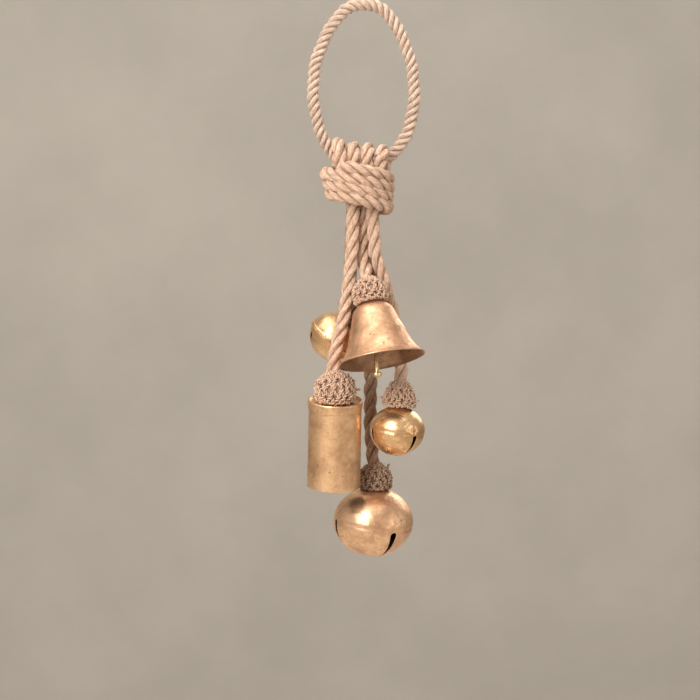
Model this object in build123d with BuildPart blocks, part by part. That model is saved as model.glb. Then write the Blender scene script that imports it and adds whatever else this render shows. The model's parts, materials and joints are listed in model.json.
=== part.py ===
from build123d import *
import os
from math import cos, pi, radians, sin, sqrt, tan

os.makedirs("parts", exist_ok=True)

# A bunch of five bells on jute rope, hung from a loop. Millimetres. The origin is the inside top of the
# loop, where it rests on a hook. -Y is the front, +X is to the right seen from the front, +Z is up.

# ---------------------------------------------------------------------------
# Driving dimensions
# ---------------------------------------------------------------------------
loop_radius = 4.4  # rope of the hanger loop
rope_radius = 4.6  # rope of the five drops
wrap_radius = 4.9  # rope wound round the knot
running_gap = 0.4  # between a rope's round end and the seat it turns in
seat_lip = 2.4  # a seat's rim stands this far past the turning point

wire_radius = 0.8  # bent wire of the staples
eye_radius = 3.4  # outer eye of a staple, to the wire's centre
eye_height = 5.0  # centre of that eye above the bell's crown
shank_radius = 1.2
shank_hole = 1.3
washer_radius = 3.5
washer_thickness = 1.0
seat_gap = 0.02  # between clinched parts that touch

sheet = 1.0  # thickness of the bells' metal
flat_crown = 4.5  # radius of the flat in the middle of each crown

rope_bend = 10.0  # radius of a drop rope's bends
loop_bend = 18.0  # radius of the hanger loop's bends

knot_top = -105.0
knot_bottom = -140.6
wrap_turns = 2.5
wrap_pitch = 9.85
wrap_bend = 15.0
wrap_slope = 8.0  # degrees, the wraps lie lower on the right
wrap_low = (-2.5, 19.6)  # centre X and path radius of the lowest wrap
wrap_high = (-5.0, 23.2)  # the same for the highest wrap


def leaning(origin, roll, pitch, turn=0.0):
    """A plane on a bell's crown: up leans right by roll and forward by pitch, in degrees."""
    upright = Plane(origin=origin, x_dir=(1, 0, 0), z_dir=(0, 0, 1))
    return upright.rotated((pitch, roll, turn), ordering=Intrinsic.XYZ)


def along(plane, height):
    """The point on a plane's own Z axis at a height."""
    return plane.from_local_coords(Vector(0, 0, height))


def side_of(plane):
    """The upright plane through a plane's axis: its X is the radius, its Y is the height."""
    return Plane(origin=plane.origin, x_dir=plane.x_dir, z_dir=-plane.y_dir)


def axis_of(plane):
    return Axis(plane.origin, plane.z_dir)


def start_of(path):
    """The plane square to a path at its first point."""
    return Plane(origin=path.line @ 0, z_dir=path.line % 0)


# ---------------------------------------------------------------------------
# Crotal sizes: radius at the middle, half height, lean, and each slot as its turn from the front and the
# drop of its round top below the middle. The slots are cut by hand, so they aren't evenly spaced.
# ---------------------------------------------------------------------------
class Crotal:
    def __init__(self, middle, radius, half, roll, pitch, slot_width, slots):
        self.radius = radius
        self.half = half
        self.depth = half * sqrt(1 - (flat_crown / radius) ** 2)  # crown above the middle
        self.slot_width = slot_width
        self.slots = slots
        middle_plane = leaning(middle, roll, pitch)
        self.crown = leaning(along(middle_plane, self.depth), roll, pitch)


small = Crotal((23.8, 1.0, -298.0), 19.8, 17.8, 4, 0, 3.4, [(40, 1.9), (168, 0.5), (295, -1.2)])
large = Crotal((7.0, 19.0, -364.7), 28.8, 25.0, 2.4, 3.4, 5.0, [(31, 3.4), (160, 0.5), (290, -2.6)])
medium = Crotal((-20.0, 14.0, -231.7), 19.6, 17.6, 35.5, 17, 4.4, [(50, 5.0), (170, 5.0), (290, 5.0)])

# Cylinder bell: the crown is the floor of the cap's shallow dish
cylinder_radius = 18.6
cylinder_length = 62.7
cap_radius = 19.1
cap_skirt = 5.0
cap_dish = 1.5
cylinder_crown = leaning((-20.2, -17.0, -276.5), 1.2, 13)

# Flared bell: each stretch of its outer section is an arc through three points, as radius and height
flared_crown = leaning((5.3, -18.0, -207.0), -9.7, -13)
flared_shoulder = [(flat_crown, 0), (10.6, -2.0), (14.4, -6.4)]
flared_waist = [(14.4, -6.4), (18.3, -17.6), (23.7, -32.0)]
flared_mouth = [(23.7, -32.0), (26.7, -36.9), (30.8, -41.2)]

# ---------------------------------------------------------------------------
# Rope runs: a point under the knot, points on the way, and the end on the bell's tie
# ---------------------------------------------------------------------------
hinge_height = knot_bottom - seat_lip
cylinder_run = [
    (-7.8, -6.8, hinge_height),
    (-8.1, -7.0, -166),
    (-10.4, -9.0, -192),
    (-14.3, -12.0, -219),
    (-20.8, -14.0, -244),
    (-22.2, -14.2, -258.4),
]
flared_run = [
    (-1.0, 0.0, hinge_height),
    (-1.2, 0.4, -166),
    (-0.6, -0.9, -176),
    (1.4, -7.3, -184.5),
    (3.2, -13.6, -192.2),
]
small_run = [
    (5.8, -6.8, hinge_height),
    (8.2, -6.2, -174),
    (14.0, -3.0, -191),
    (20.5, 2.6, -213),
    (27.0, 10.8, -243),
    (26.4, 2.6, -265.2),
]
large_run = [
    (5.8, 6.8, hinge_height),
    (7.4, 8.0, -185),
    (8.6, 8.8, -218),
    (5.0, 13.0, -256),
    (4.7, 21.0, -296),
    (7.2, 17.4, -325.0),
]
medium_run = [
    (-7.8, 6.8, hinge_height),
    (-9.6, 8.4, -172),
    (-9.6, 9.0, -188),
    (-6.2, 7.8, -203.9),
]


# ---------------------------------------------------------------------------
# Hanger loop and knot
# ---------------------------------------------------------------------------
with BuildPart() as hanger_loop:
    with BuildLine() as loop_path:
        FilletPolyline(
            (-13, 11, -111),
            (-23.5, 11, -99.5),
            (-31.5, 6, -85),
            (-36.2, 0, -62),
            (-34.4, 0, -37),
            (-25.4, 0, -14.6),
            (-11.6, 0, loop_radius - 0.9),
            (11.2, 0, loop_radius + 0.3),
            (25.2, 0, -14.2),
            (34.0, 0, -37),
            (36.4, 0, -62),
            (31.8, 6, -86),
            (20, 11, -103),
            (5, 11, -112),
            radius=loop_bend,
        )
    with BuildSketch(start_of(loop_path)):
        Circle(loop_radius)
    sweep()

def wrap_point(turn):
    """A point on the wound rope, turn counted from its lower end."""
    share = turn / wrap_turns
    centre = wrap_low[0] + share * (wrap_high[0] - wrap_low[0])
    radius = wrap_low[1] + share * (wrap_high[1] - wrap_low[1])
    x = radius * cos(2 * pi * turn)
    y = -radius * sin(2 * pi * turn)
    lowest = knot_bottom - 1.0 + wrap_radius
    return centre + x, y, lowest + wrap_pitch * turn - x * tan(radians(wrap_slope))


points_per_turn = 12
with BuildPart() as knot_wrap:
    with BuildLine() as wrap_path:
        wound = [wrap_point(i / points_per_turn) for i in range(int(wrap_turns * points_per_turn) + 1)]
        FilletPolyline(*wound, radius=wrap_bend)
    with BuildSketch(start_of(wrap_path)):
        Circle(wrap_radius)
    sweep()

# Bights of rope that stand on top of the knot: X of each, bend radius, and length of the upright legs
bights = [(-17.0, 6.0, 5.5), (-7.3, 5.6, 3.6), (2.4, 5.4, 3.0), (12.0, 5.2, 2.6)]
bight_front = -5.0
bight_sunk = 1.0
with BuildPart() as knot_crown:
    for bight_x, bend, leg in bights:
        foot = knot_top - bight_sunk
        shoulder = knot_top + leg - bight_sunk
        with BuildLine() as bight_path:
            Line((bight_x, bight_front - bend, foot), (bight_x, bight_front - bend, shoulder))
            ThreePointArc(
                (bight_x, bight_front - bend, shoulder),
                (bight_x, bight_front, shoulder + bend),
                (bight_x, bight_front + bend, shoulder),
            )
            Line((bight_x, bight_front + bend, shoulder), (bight_x, bight_front + bend, foot))
        with BuildSketch(start_of(bight_path)):
            Circle(rope_radius)
        sweep()


runs = (cylinder_run, flared_run, small_run, large_run, medium_run)
core_gap = 1.6
with BuildPart() as knot_core:
    with BuildSketch(Plane.XY.offset(knot_bottom)):
        with Locations((wrap_low[0], 0)):
            Circle(wrap_low[1] - wrap_radius - core_gap)
    with BuildSketch(Plane.XY.offset(knot_top)):
        with Locations((wrap_high[0], 0)):
            Circle(wrap_high[1] - wrap_radius - core_gap)
    loft()
    with Locations(*[run[0] for run in runs]):
        Sphere(rope_radius + running_gap, mode=Mode.SUBTRACT)
    add(hanger_loop.part, mode=Mode.SUBTRACT)
    add(knot_crown.part, mode=Mode.SUBTRACT)


# ---------------------------------------------------------------------------
# Pieces that each drop has: rope, twine tie and wire staple
# ---------------------------------------------------------------------------
def drop_rope(run):
    """A rope with round ends centred on its two turning points."""
    with BuildPart() as rope:
        with BuildLine() as path:
            FilletPolyline(*run, radius=rope_bend)
        with BuildSketch(start_of(path)):
            Circle(rope_radius)
        sweep()
        with Locations(run[0], run[-1]):
            Sphere(rope_radius)
    return rope


def tie_plane(crown, run):
    """The tie's own plane: at the centre of the staple's eye, with up towards the rope's end."""
    eye = along(crown, eye_height)
    return Plane(origin=eye, z_dir=Vector(*run[-1]) - eye)


def twine_tie(crown, run, radius, clearance):
    """A ball of twine with a seat for the rope on top, and a bar inside that the staple hangs on."""
    own = tie_plane(crown, run)
    reach = (Vector(*run[-1]) - own.origin).length
    top = reach - 1.5
    collar = rope_radius + 1.6
    pocket = eye_radius + wire_radius + 0.6
    with BuildPart() as tie:
        with BuildSketch(side_of(own)):
            with BuildLine():
                Line((0, -7), (0, top))
                Line((0, top), (collar, top))
                ThreePointArc((collar, top), (radius - 1.6, 0.55 * top), (radius, 0))
                ThreePointArc((radius, 0), (radius - 0.6, -3.6), (radius - 2.6, -7))
                Line((radius - 2.6, -7), (0, -7))
            make_face()
        revolve(axis=axis_of(own))
        add(clearance, mode=Mode.SUBTRACT)
        with Locations(own.origin):
            Sphere(pocket, mode=Mode.SUBTRACT)
        with Locations(run[-1]):
            Sphere(rope_radius + running_gap, mode=Mode.SUBTRACT)
        with BuildSketch(crown):
            Circle(shank_radius + 1.0)
        extrude(amount=eye_height, both=True, mode=Mode.SUBTRACT)
        with BuildSketch(Plane(origin=own.origin, z_dir=crown.y_dir)):
            Circle(1.2)
        extrude(amount=pocket + 0.4, both=True)
    return tie


def clinched_staple(crown, thickness):
    """Outer eye, shank through the crown and a clinched washer under it."""
    with BuildPart() as staple:
        with Locations(Plane(origin=along(crown, eye_height), z_dir=crown.y_dir)):
            Torus(eye_radius, wire_radius)
        with BuildSketch(Plane(origin=along(crown, eye_height - eye_radius), z_dir=crown.z_dir)):
            Circle(shank_radius)
        extrude(amount=-(eye_height - eye_radius + thickness + washer_thickness))
        with BuildSketch(Plane(origin=along(crown, -thickness - seat_gap), z_dir=crown.z_dir)):
            Circle(washer_radius)
        extrude(amount=-washer_thickness)
    return staple


# Lower loop of a staple that carries a clapper, and the clapper's own eye on it
lower_loop = 3.0
lower_loop_height = -(sheet + washer_thickness + lower_loop + wire_radius - 0.2)
swing_height = lower_loop_height - lower_loop
clapper_eye = 2.4
clapper_slack = 0.5


def looped_staple(crown, thickness):
    """A clinched staple with a loop under the washer, in the bell's side plane."""
    with BuildPart() as staple:
        add(clinched_staple(crown, thickness).part)
        with Locations(Plane(origin=along(crown, lower_loop_height), z_dir=crown.x_dir)):
            Torus(lower_loop, wire_radius)
    return staple


# ---------------------------------------------------------------------------
# Crotal shells and pellets
# ---------------------------------------------------------------------------
def crotal_solid(bell, grow):
    """The bell's outer form, grown or shrunk evenly by an amount."""
    middle = along(bell.crown, -bell.depth)
    own = Plane(origin=middle, x_dir=bell.crown.x_dir, z_dir=bell.crown.z_dir)
    with BuildPart(mode=Mode.PRIVATE) as form:
        with BuildSketch(side_of(own)):
            Ellipse(bell.radius + grow, bell.half + grow)
            with Locations((-bell.radius, 0)):
                Rectangle(2 * bell.radius, 4 * bell.radius, mode=Mode.SUBTRACT)
            with Locations((0, bell.depth + grow)):
                Rectangle(4 * bell.radius, 4, align=(Align.CENTER, Align.MIN), mode=Mode.SUBTRACT)
        revolve(axis=axis_of(own))
    return form.part


slot_foot = 0.9  # width of a slot at the bell's lowest point


def slot_cutter(bell, turn, drop):
    """A keyhole slot: round at the top, and narrowing to the bell's lowest point."""
    middle = along(bell.crown, -bell.depth)
    angle = radians(turn)
    radial = sin(angle) * bell.crown.x_dir - cos(angle) * bell.crown.y_dir
    facing = Plane(origin=middle, x_dir=radial.cross(bell.crown.z_dir), z_dir=radial)
    up = 1 if facing.y_dir.dot(bell.crown.z_dir) > 0 else -1
    top = -up * (drop + bell.slot_width / 2)
    foot = -up * (bell.half + 2)
    wide = bell.slot_width / 2
    narrow = slot_foot / 2
    with BuildPart(mode=Mode.PRIVATE) as cutter:
        with BuildSketch(facing):
            with BuildLine():
                ThreePointArc((-wide, top), (0, top + up * wide), (wide, top))
                Line((wide, top), (narrow, foot))
                Line((narrow, foot), (-narrow, foot))
                Line((-narrow, foot), (-wide, top))
            make_face()
        extrude(amount=bell.radius + 3)
    return cutter.part


def crotal_shell(bell):
    """One sheet-metal shell with a hole in the crown and three slots between its petals."""
    with BuildPart() as shell:
        add(crotal_solid(bell, 0))
        add(crotal_solid(bell, -sheet), mode=Mode.SUBTRACT)
        with BuildSketch(bell.crown):
            Circle(shank_hole)
        extrude(amount=2 * sheet, both=True, mode=Mode.SUBTRACT)
        for turn, drop in bell.slots:
            add(slot_cutter(bell, turn, drop), mode=Mode.SUBTRACT)
    return shell


def pellet_ball(bell, radius):
    """The loose iron ball, at rest on the shell's floor straight below the middle."""
    middle = along(bell.crown, -bell.depth)
    path = bell.half - sheet - radius - 0.3
    with BuildPart() as ball:
        with Locations(middle - Vector(0, 0, path)):
            Sphere(radius)
    return ball


# ---------------------------------------------------------------------------
# Cylinder drop
# ---------------------------------------------------------------------------
cylinder_rope = drop_rope(cylinder_run)

with BuildPart(mode=Mode.PRIVATE) as cylinder_clearance:
    with BuildSketch(cylinder_crown.offset(running_gap)):
        Circle(cap_radius)
    extrude(amount=-20)
cylinder_tie = twine_tie(cylinder_crown, cylinder_run, 13.8, cylinder_clearance.part)
cylinder_staple = looped_staple(cylinder_crown, sheet)

with BuildPart() as cylinder_cap:
    with BuildSketch(cylinder_crown.offset(cap_dish)):
        Circle(cap_radius)
    extrude(amount=-(cap_dish + cap_skirt))
    with BuildSketch(cylinder_crown.offset(cap_dish)):
        Circle(cap_radius - 1.1)
    extrude(amount=-cap_dish, mode=Mode.SUBTRACT)
    with BuildSketch(cylinder_crown.offset(-sheet)):
        Circle(cylinder_radius + seat_gap)
    extrude(amount=-cap_skirt, mode=Mode.SUBTRACT)
    with BuildSketch(cylinder_crown):
        Circle(shank_hole)
    extrude(amount=2 * sheet, both=True, mode=Mode.SUBTRACT)

with BuildPart() as cylinder_body:
    with BuildSketch(cylinder_crown.offset(-sheet - seat_gap)):
        Circle(cylinder_radius)
        Circle(cylinder_radius - sheet, mode=Mode.SUBTRACT)
    extrude(amount=-(cylinder_length - cap_dish - sheet))

clapper_drop = 44.0
with BuildPart() as cylinder_clapper:
    ring_height = swing_height - clapper_slack
    with Locations(Plane(origin=along(cylinder_crown, ring_height), z_dir=cylinder_crown.y_dir)):
        Torus(clapper_eye, wire_radius)
    with BuildSketch(cylinder_crown.offset(ring_height - clapper_eye)):
        Circle(1.3)
    extrude(amount=-(clapper_drop - clapper_eye))
    with Locations(along(cylinder_crown, ring_height - clapper_drop)):
        Sphere(5.0)

# ---------------------------------------------------------------------------
# Flared drop
# ---------------------------------------------------------------------------
flared_rope = drop_rope(flared_run)

with BuildPart() as flared_bell:
    with BuildSketch(side_of(flared_crown)):
        with BuildLine():
            Line((0, 0), (flat_crown, 0))
            ThreePointArc(*flared_shoulder)
            ThreePointArc(*flared_waist)
            ThreePointArc(*flared_mouth)
            offset(amount=sheet, side=Side.RIGHT)
        make_face()
    revolve(axis=axis_of(flared_crown))
    with BuildSketch(flared_crown):
        Circle(shank_hole)
    extrude(amount=2 * sheet, both=True, mode=Mode.SUBTRACT)

with BuildPart(mode=Mode.PRIVATE) as flared_clearance:
    with BuildSketch(side_of(flared_crown)):
        Polygon((0, 0.4), (5.2, 0.4), (11.2, -1.5), (15.4, -6.2), (17.4, -14), (0, -14), align=None)
    revolve(axis=axis_of(flared_crown))
flared_tie = twine_tie(flared_crown, flared_run, 12.2, flared_clearance.part)
flared_staple = looped_staple(flared_crown, sheet)

# The clapper hangs off the bell's own axis, near to plumb
clapper_lean = 6.8
flared_drop = 43.0
pivot = along(flared_crown, swing_height)
hang = Plane(origin=pivot, x_dir=flared_crown.x_dir, z_dir=flared_crown.z_dir)
hang = hang.rotated((0, clapper_lean, 0))
with BuildPart(mode=Mode.PRIVATE) as clapper_head:
    with BuildSketch(hang.offset(1.6 - flared_drop)):
        Circle(3.2)
    extrude(amount=-3.4)
    rims = clapper_head.edges().filter_by(GeomType.CIRCLE).sort_by(Axis.Z)
    fillet(rims[0], radius=2.0)
    fillet(rims[-1], radius=0.8)
with BuildPart() as flared_clapper:
    with Locations(Plane(origin=along(hang, -clapper_slack), z_dir=hang.y_dir)):
        Torus(clapper_eye, wire_radius)
    with BuildSketch(hang.offset(-clapper_slack - clapper_eye)):
        Circle(1.45)
    extrude(amount=-(flared_drop - clapper_eye))
    add(clapper_head.part)

# ---------------------------------------------------------------------------
# Small drop
# ---------------------------------------------------------------------------
small_rope = drop_rope(small_run)
small_tie = twine_tie(small.crown, small_run, 12.0, crotal_solid(small, running_gap))
small_staple = clinched_staple(small.crown, sheet)
small_shell = crotal_shell(small)
small_pellet = pellet_ball(small, 4.5)

# ---------------------------------------------------------------------------
# Large drop
# ---------------------------------------------------------------------------
large_rope = drop_rope(large_run)
large_tie = twine_tie(large.crown, large_run, 11.6, crotal_solid(large, running_gap))
large_staple = clinched_staple(large.crown, sheet)
large_shell = crotal_shell(large)
large_pellet = pellet_ball(large, 6.0)

# ---------------------------------------------------------------------------
# Medium drop: its bell is two cups that meet at a lip
# ---------------------------------------------------------------------------
medium_rope = drop_rope(medium_run)
medium_tie = twine_tie(medium.crown, medium_run, 11.0, crotal_solid(medium, running_gap))
medium_staple = clinched_staple(medium.crown, sheet)
medium_pellet = pellet_ball(medium, 4.5)

medium_middle = medium.crown.offset(-medium.depth)
lip_thickness = 0.9
upper_lip = 0.7
lower_lip = 1.3

with BuildPart() as medium_upper_cup:
    add(crotal_shell(medium).part)
    with BuildSketch(medium_middle.offset(seat_gap)):
        Circle(medium.radius + upper_lip)
        Circle(medium.radius - sheet, mode=Mode.SUBTRACT)
    extrude(amount=lip_thickness)
    split(bisect_by=medium_middle.offset(seat_gap), keep=Keep.TOP)

with BuildPart() as medium_lower_cup:
    add(crotal_shell(medium).part)
    with BuildSketch(medium_middle):
        Circle(medium.radius + lower_lip)
        Circle(medium.radius - sheet, mode=Mode.SUBTRACT)
    extrude(amount=-lip_thickness)
    split(bisect_by=medium_middle, keep=Keep.BOTTOM)

# ---------------------------------------------------------------------------
# Export, one file per piece
# ---------------------------------------------------------------------------
pieces = {
    "hanger_loop": hanger_loop,
    "knot_core": knot_core,
    "knot_wrap": knot_wrap,
    "knot_crown": knot_crown,
    "cylinder_rope": cylinder_rope,
    "cylinder_tie": cylinder_tie,
    "cylinder_staple": cylinder_staple,
    "cylinder_cap": cylinder_cap,
    "cylinder_body": cylinder_body,
    "cylinder_clapper": cylinder_clapper,
    "flared_rope": flared_rope,
    "flared_tie": flared_tie,
    "flared_staple": flared_staple,
    "flared_bell": flared_bell,
    "flared_clapper": flared_clapper,
    "small_rope": small_rope,
    "small_tie": small_tie,
    "small_staple": small_staple,
    "small_shell": small_shell,
    "small_pellet": small_pellet,
    "large_rope": large_rope,
    "large_tie": large_tie,
    "large_staple": large_staple,
    "large_shell": large_shell,
    "large_pellet": large_pellet,
    "medium_rope": medium_rope,
    "medium_tie": medium_tie,
    "medium_staple": medium_staple,
    "medium_upper_cup": medium_upper_cup,
    "medium_lower_cup": medium_lower_cup,
    "medium_pellet": medium_pellet,
}
for name, piece in pieces.items():
    piece.part.label = name
    export_step(piece.part, f"parts/{name}.step")
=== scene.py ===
import json
import random
from math import cos, pi, radians, sin, sqrt

import bpy
import numpy as np
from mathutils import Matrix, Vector, noise


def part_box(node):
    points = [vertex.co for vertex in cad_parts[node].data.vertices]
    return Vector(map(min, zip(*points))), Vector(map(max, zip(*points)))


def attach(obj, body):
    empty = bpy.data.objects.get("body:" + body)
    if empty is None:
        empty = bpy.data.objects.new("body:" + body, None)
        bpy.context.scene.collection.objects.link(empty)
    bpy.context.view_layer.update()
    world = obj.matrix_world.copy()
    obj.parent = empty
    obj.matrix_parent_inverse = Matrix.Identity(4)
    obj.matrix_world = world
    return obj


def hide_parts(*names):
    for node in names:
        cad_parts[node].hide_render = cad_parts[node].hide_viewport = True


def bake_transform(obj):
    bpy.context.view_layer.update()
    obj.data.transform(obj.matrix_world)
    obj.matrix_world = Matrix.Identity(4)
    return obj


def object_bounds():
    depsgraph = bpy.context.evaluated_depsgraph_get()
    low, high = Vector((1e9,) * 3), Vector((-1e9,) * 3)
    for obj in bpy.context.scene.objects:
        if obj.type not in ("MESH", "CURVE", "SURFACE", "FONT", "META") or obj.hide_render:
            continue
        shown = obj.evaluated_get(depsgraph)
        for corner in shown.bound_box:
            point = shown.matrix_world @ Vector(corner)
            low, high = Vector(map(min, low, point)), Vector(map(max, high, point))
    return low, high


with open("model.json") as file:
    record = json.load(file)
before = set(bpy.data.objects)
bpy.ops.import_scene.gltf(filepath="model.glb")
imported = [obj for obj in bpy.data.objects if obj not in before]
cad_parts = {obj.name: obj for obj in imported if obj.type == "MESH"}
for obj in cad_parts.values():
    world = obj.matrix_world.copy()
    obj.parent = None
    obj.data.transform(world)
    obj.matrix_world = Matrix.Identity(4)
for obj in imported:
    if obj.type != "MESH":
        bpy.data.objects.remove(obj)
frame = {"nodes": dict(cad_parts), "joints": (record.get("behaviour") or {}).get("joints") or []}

# A bunch of five gold-washed bells on jute rope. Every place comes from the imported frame: the joints give
# where each rope, tie and bell sits, and the CAD ropes give the line that each visible rope follows.

mm = 0.001
cad_low, cad_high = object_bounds()
random.seed(7)
rng = np.random.default_rng(7)
JOINTS = {j["name"]: j for j in frame["joints"]}
DROPS = ("cylinder", "flared", "small", "large", "medium")


def joint_place(name):
    return np.array(JOINTS[name]["pos_m"], float)


def joint_axis(name):
    axis = np.array(JOINTS[name]["axis"], float)
    return axis / np.linalg.norm(axis)


# ---------------------------------------------------------------------------
# Vectors, paths and frames
# ---------------------------------------------------------------------------
def unit(v):
    v = np.asarray(v, float)
    return v / np.linalg.norm(v)


def resample(points, step):
    """The path through points with even spacing, rounded by a Catmull-Rom curve."""
    p = np.asarray(points, float)
    ext = np.vstack([2 * p[0] - p[1], p, 2 * p[-1] - p[-2]])
    fine = []
    for i in range(len(p) - 1):
        a, b, c, d = ext[i : i + 4]
        slope, bend, twist = c - a, 2 * a - 5 * b + 4 * c - d, 3 * b - a - 3 * c + d
        for t in np.linspace(0, 1, 24, endpoint=False):
            fine.append(0.5 * (2 * b + slope * t + bend * t**2 + twist * t**3))
    fine.append(p[-1])
    fine = np.array(fine)
    run = np.concatenate([[0], np.cumsum(np.linalg.norm(np.diff(fine, axis=0), axis=1))])
    count = max(4, int(round(run[-1] / step)) + 1)
    at = np.linspace(0, run[-1], count)
    return np.column_stack([np.interp(at, run, fine[:, k]) for k in range(3)])


def rolling_frames(path):
    """Tangent, normal and side at each point of a path, with no twist from one to the next."""
    tangent = np.gradient(path, axis=0)
    tangent /= np.linalg.norm(tangent, axis=1)[:, None]
    start = np.array([0.0, 1.0, 0.0]) if abs(tangent[0][1]) < 0.9 else np.array([1.0, 0.0, 0.0])
    normal = np.zeros_like(path)
    normal[0] = unit(start - tangent[0] * start.dot(tangent[0]))
    for i in range(1, len(path)):
        n = normal[i - 1] - tangent[i] * normal[i - 1].dot(tangent[i])
        normal[i] = n / np.linalg.norm(n)
    return tangent, normal, np.cross(tangent, normal)


def cut_centres(node, planes):
    """The middle of a CAD node's cross-section at each (point, normal, keep) plane; keep picks a side."""
    mesh = frame["nodes"][node].data
    co = np.zeros(len(mesh.vertices) * 3)
    mesh.vertices.foreach_get("co", co)
    co = co.reshape(-1, 3)
    ends = np.zeros(len(mesh.edges) * 2, int)
    mesh.edges.foreach_get("vertices", ends)
    a, b = co[ends.reshape(-1, 2)[:, 0]], co[ends.reshape(-1, 2)[:, 1]]
    centres = []
    for point, normal, keep in planes:
        da, db = (a - point) @ normal, (b - point) @ normal
        crossing = da * db < 0
        share = da[crossing] / (da[crossing] - db[crossing])
        hits = a[crossing] + (b[crossing] - a[crossing]) * share[:, None]
        if keep is not None:
            hits = hits[(hits - point) @ keep > 0]
        centres.append((hits.min(axis=0) + hits.max(axis=0)) / 2)
    return np.array(centres)


# ---------------------------------------------------------------------------
# Meshes
# ---------------------------------------------------------------------------
class Shape:
    """Points, faces and a per-point grain vector (around, along, depth) that the materials read; depth is an
    amount of painted shade.
    """

    def __init__(self):
        self.points, self.faces, self.grain, self.count = [], [], [], 0

    def add(self, points, faces, grain=None):
        points = np.asarray(points, float)
        self.points.append(points)
        self.faces.extend([tuple(int(i) + self.count for i in f) for f in faces])
        self.grain.append(np.zeros((len(points), 3)) if grain is None else np.asarray(grain, float))
        self.count += len(points)

    def piece(self, name, material, slot, smooth=True):
        mesh = bpy.data.meshes.new(name)
        mesh.from_pydata(np.vstack(self.points).tolist(), [], self.faces)
        attribute = mesh.attributes.new("grain", "FLOAT_VECTOR", "POINT")
        attribute.data.foreach_set("vector", np.vstack(self.grain).astype(np.float32).ravel())
        mesh.update()
        mesh.materials.append(material)
        obj = bpy.data.objects.new(name, mesh)
        bpy.context.scene.collection.objects.link(obj)
        if smooth:
            mesh.polygons.foreach_set("use_smooth", [True] * len(mesh.polygons))
        return obj


def grid_faces(rows, sides, base=0):
    """Quads of a tube of rows x sides points that closes round its sides."""
    i = np.arange(rows - 1)[:, None] * sides + base
    k = np.arange(sides)[None, :]
    n = (k + 1) % sides
    return np.stack([i + k, i + n, i + sides + n, i + sides + k], axis=-1).reshape(-1, 4)


def capped_faces(rows, sides):
    """The quads of a tube, and a fan over each end round two more points that follow the rings."""
    faces = [tuple(f) for f in grid_faces(rows, sides)]
    first, last = rows * sides, rows * sides + 1
    faces += [(first, (k + 1) % sides, k) for k in range(sides)]
    top = (rows - 1) * sides
    faces += [(last, top + k, top + (k + 1) % sides) for k in range(sides)]
    return faces


def add_tube(shape, centres, normals, sides_dir, radii, grain_along, start_around=0.0, shade=None):
    """A closed tube: radii is rows x sides."""
    rows, sides = radii.shape
    phi = np.linspace(0, 2 * pi, sides, endpoint=False)
    turn_cos, turn_sin = np.cos(phi)[None, :, None], np.sin(phi)[None, :, None]
    out = turn_cos * normals[:, None, :] + turn_sin * sides_dir[:, None, :]
    ring = centres[:, None, :] + radii[..., None] * out
    points = np.vstack([ring.reshape(-1, 3), centres[:1], centres[-1:]])
    around = np.broadcast_to((phi + start_around)[None, :], (rows, sides))
    along = np.broadcast_to(np.asarray(grain_along)[:, None], (rows, sides))
    # the third value is painted shade: the materials darken the points by it
    depth = np.zeros((rows, sides)) if shade is None else shade
    grain = np.stack([around, along, depth], axis=-1).reshape(-1, 3)
    grain = np.vstack([grain, grain[:1], grain[-1:]])
    shape.add(points, capped_faces(rows, sides), grain)


# A strand's distance from the rope's middle and its own radius, as shares of the rope's radius
STRAND_SHARES = {3: (0.5, 0.52), 2: (0.46, 0.56)}


def add_rope(
    shape, points, radius, lay, strands=3, sides=20, step=0.9 * mm, turn=0.0, lobes=5, lobe=0.05, loose=0.0
):
    """Laid rope along a path: strands wound right-handed. Each strand is swollen by its yarns (lobes)
    and wanders from its place by loose. Returns the path with its frames."""
    path = resample(points, step)
    tangent, normal, side = rolling_frames(path)
    run = np.concatenate([[0], np.cumsum(np.linalg.norm(np.diff(path, axis=0), axis=1))])
    core, thick = (share * radius for share in STRAND_SHARES[strands])
    phi = np.linspace(0, 2 * pi, sides, endpoint=False)
    for k in range(strands):
        angle = turn + 2 * pi * (run / lay + k / strands)
        drift = 1 + loose * np.array([noise.noise(Vector((s / (9 * mm), k * 7.3, turn))) for s in run])
        offset = np.cos(angle)[:, None] * normal + np.sin(angle)[:, None] * side
        centres = path + core * drift[:, None] * offset
        wave = np.abs(np.cos(0.5 * lobes * (phi[None, :] - 0.25 * angle[:, None])))
        radii = thick * (1 - lobe + lobe * 1.6 * wave)
        swell = np.array([noise.noise(Vector((s / (5 * mm), k * 3.1 + 50, turn))) for s in run])
        radii = radii * (1 + 0.05 * swell[:, None])
        # painted shade: each strand is darker on its faces that turn in towards the rope's core, between the
        # strands
        inward = np.cos(phi[None, :] - angle[:, None])
        depth = np.clip(0.5 - 0.75 * inward, 0, 1)
        add_tube(shape, centres, normal, side, radii, run / mm + 31 * k, start_around=k * 2.1, shade=depth)
    return path, tangent, normal, side


def add_hair(shape, root, heading, droop, length, radius):
    """One loose fibre: a thin closed three-sided tube that curls away."""
    steps = 6
    t = np.linspace(0, 1, steps)[:, None]
    path = root + heading * length * t + droop * length * (t**2)
    _, normal, side = rolling_frames(path)
    taper = radius * (1 - 0.75 * np.linspace(0, 1, steps))
    add_tube(shape, path, normal, side, np.repeat(taper[:, None], 3, axis=1), np.linspace(0, 3, steps))


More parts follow.
